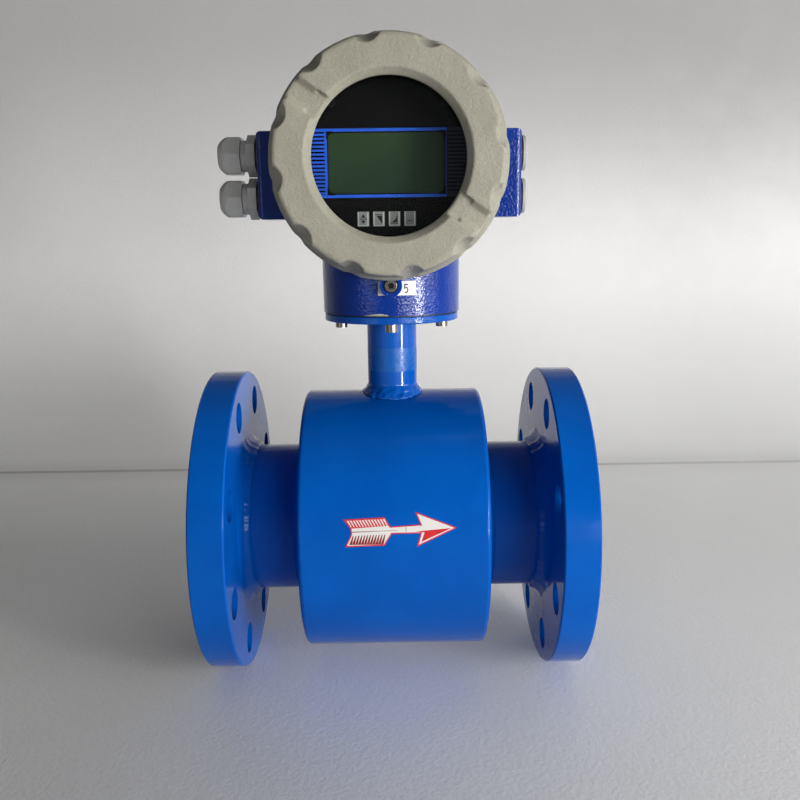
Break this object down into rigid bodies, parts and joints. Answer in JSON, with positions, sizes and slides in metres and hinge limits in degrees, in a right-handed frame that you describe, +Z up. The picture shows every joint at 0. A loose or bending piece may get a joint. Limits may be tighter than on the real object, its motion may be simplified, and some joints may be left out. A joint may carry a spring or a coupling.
{
  "type": "electromagnetic flow meter",
  "caption": "Flanged electromagnetic flow meter: lined tube in a drum-shaped coil case, with a neck and a round converter head that has a display window and cable glands.",
  "frame": {"origin": "on the measuring tube's axis, midway between the flange faces", "axes": "+X along the tube in the direction of flow, +Z up the neck to the converter head, the display faces -Y"},
  "size_m": [0.271, 0.22, 0.4441],
  "materials": {
    "sensor_paint": "gloss blue paint on steel",
    "liner_rubber": "matt black rubber",
    "magnet_steel": "plain steel",
    "winding": "enamelled copper wire",
    "electrode_steel": "stainless steel",
    "insulator": "white plastic",
    "gasket_rubber": "black rubber",
    "fastener_steel": "stainless steel",
    "housing_paint": "cast aluminium, blue hammer paint",
    "cover_paint": "cast aluminium, grey textured paint",
    "window_glass": "clear flat glass",
    "panel_black": "black film",
    "module_black": "black frame",
    "lcd": "dark green display glass",
    "key_grey": "light grey keys",
    "board_green": "circuit board",
    "switch_black": "black switches",
    "spacer_brass": "plain brass",
    "screw_black": "black oxide",
    "terminal_plastic": "green plastic",
    "entry_plastic": "light grey nylon"
  },
  "bodies": {
    "meter": {"measuring_tube": "sensor_paint", "inlet_flange": "sensor_paint", "outlet_flange": "sensor_paint", "liner": "liner_rubber", "liner_face_inlet": "liner_rubber", "liner_face_outlet": "liner_rubber", "coil_case_shell": "sensor_paint", "coil_case_end_inlet": "sensor_paint", "coil_case_end_outlet": "sensor_paint", "upper_pole": "magnet_steel", "lower_pole": "magnet_steel", "upper_coil": "winding", "lower_coil": "winding", "yoke": "magnet_steel", "front_electrode": "electrode_steel", "rear_electrode": "electrode_steel", "front_electrode_sleeve": "insulator", "rear_electrode_sleeve": "insulator", "front_electrode_nut": "electrode_steel", "rear_electrode_nut": "electrode_steel", "neck_tube": "sensor_paint", "neck_plate": "sensor_paint", "neck_gasket": "gasket_rubber", "neck_screws": "fastener_steel", "neck_washers": "fastener_steel", "converter_housing": "housing_paint", "lock_screw": "fastener_steel", "display_panel": "panel_black", "lcd_module": "module_black", "lcd_glass": "lcd", "key_switches": "switch_black", "display_board": "board_green", "main_board": "board_green", "board_spacers": "spacer_brass", "panel_screws": "screw_black", "terminal_block": "terminal_plastic", "terminal_screws": "fastener_steel", "gland_washer_upper": "gasket_rubber", "gland_body_upper": "entry_plastic", "plug_washer_upper": "gasket_rubber", "blanking_plug_upper": "entry_plastic", "gland_washer_lower": "gasket_rubber", "gland_body_lower": "entry_plastic", "plug_washer_lower": "gasket_rubber", "blanking_plug_lower": "entry_plastic"},
    "front_cover_carrier": {"front_cover_seal": "gasket_rubber"},
    "front_cover": {"front_cover": "cover_paint", "window_glass": "window_glass", "window_gasket": "gasket_rubber", "glass_retainer": "fastener_steel"},
    "rear_cover_carrier": {"rear_cover_seal": "gasket_rubber"},
    "rear_cover": {"rear_cover": "cover_paint"},
    "key_1": {"key_1": "key_grey"},
    "key_2": {"key_2": "key_grey"},
    "key_3": {"key_3": "key_grey"},
    "key_4": {"key_4": "key_grey"},
    "gland_carrier_upper": {"gland_seal_upper": "gasket_rubber"},
    "gland_nut_upper": {"gland_nut_upper": "entry_plastic"},
    "gland_carrier_lower": {"gland_seal_lower": "gasket_rubber"},
    "gland_nut_lower": {"gland_nut_lower": "entry_plastic"}
  },
  "joints": [
    {"name": "front_cover_turn", "type": "hinge", "parent": "front_cover_carrier", "child": "front_cover", "pos_m": [0, -0.065, 0.2566], "axis": [0, -1, 0], "range_deg": [0, 2700]},
    {"name": "front_cover_travel", "type": "slide", "parent": "meter", "child": "front_cover_carrier", "axis": [0, -1, 0], "range_m": [0, 0.015]},
    {"name": "rear_cover_turn", "type": "hinge", "parent": "rear_cover_carrier", "child": "rear_cover", "pos_m": [0, 0.065, 0.2566], "axis": [0, 1, 0], "range_deg": [0, 2700]},
    {"name": "rear_cover_travel", "type": "slide", "parent": "meter", "child": "rear_cover_carrier", "axis": [0, 1, 0], "range_m": [0, 0.015]},
    {"name": "gland_nut_upper_turn", "type": "hinge", "parent": "gland_carrier_upper", "child": "gland_nut_upper", "pos_m": [-0.11, 0, 0.2643], "axis": [-1, 0, 0], "range_deg": [0, 1080.2]},
    {"name": "gland_nut_upper_travel", "type": "slide", "parent": "meter", "child": "gland_carrier_upper", "axis": [-1, 0, 0], "range_m": [0, 0.0045]},
    {"name": "gland_nut_lower_turn", "type": "hinge", "parent": "gland_carrier_lower", "child": "gland_nut_lower", "pos_m": [-0.11, 0, 0.2349], "axis": [-1, 0, 0], "range_deg": [0, 1080.2]},
    {"name": "gland_nut_lower_travel", "type": "slide", "parent": "meter", "child": "gland_carrier_lower", "axis": [-1, 0, 0], "range_m": [0, 0.0045]},
    {"name": "key_1_press", "type": "slide", "parent": "meter", "child": "key_1", "axis": [0, 1, 0], "range_m": [0, 0.0005], "stiffness_N_per_m": 3000},
    {"name": "key_2_press", "type": "slide", "parent": "meter", "child": "key_2", "axis": [0, 1, 0], "range_m": [0, 0.0005], "stiffness_N_per_m": 3000},
    {"name": "key_3_press", "type": "slide", "parent": "meter", "child": "key_3", "axis": [0, 1, 0], "range_m": [0, 0.0005], "stiffness_N_per_m": 3000},
    {"name": "key_4_press", "type": "slide", "parent": "meter", "child": "key_4", "axis": [0, 1, 0], "range_m": [0, 0.0005], "stiffness_N_per_m": 3000}
  ],
  "couplings": [
    {"joint": "front_cover_travel", "follows": "front_cover_turn", "m_per_rad": 0.00031831},
    {"joint": "rear_cover_travel", "follows": "rear_cover_turn", "m_per_rad": 0.00031831},
    {"joint": "gland_nut_upper_turn", "follows": "gland_nut_upper_travel", "rad_per_m": 4188.8},
    {"joint": "gland_nut_lower_turn", "follows": "gland_nut_lower_travel", "rad_per_m": 4188.8}
  ]
}
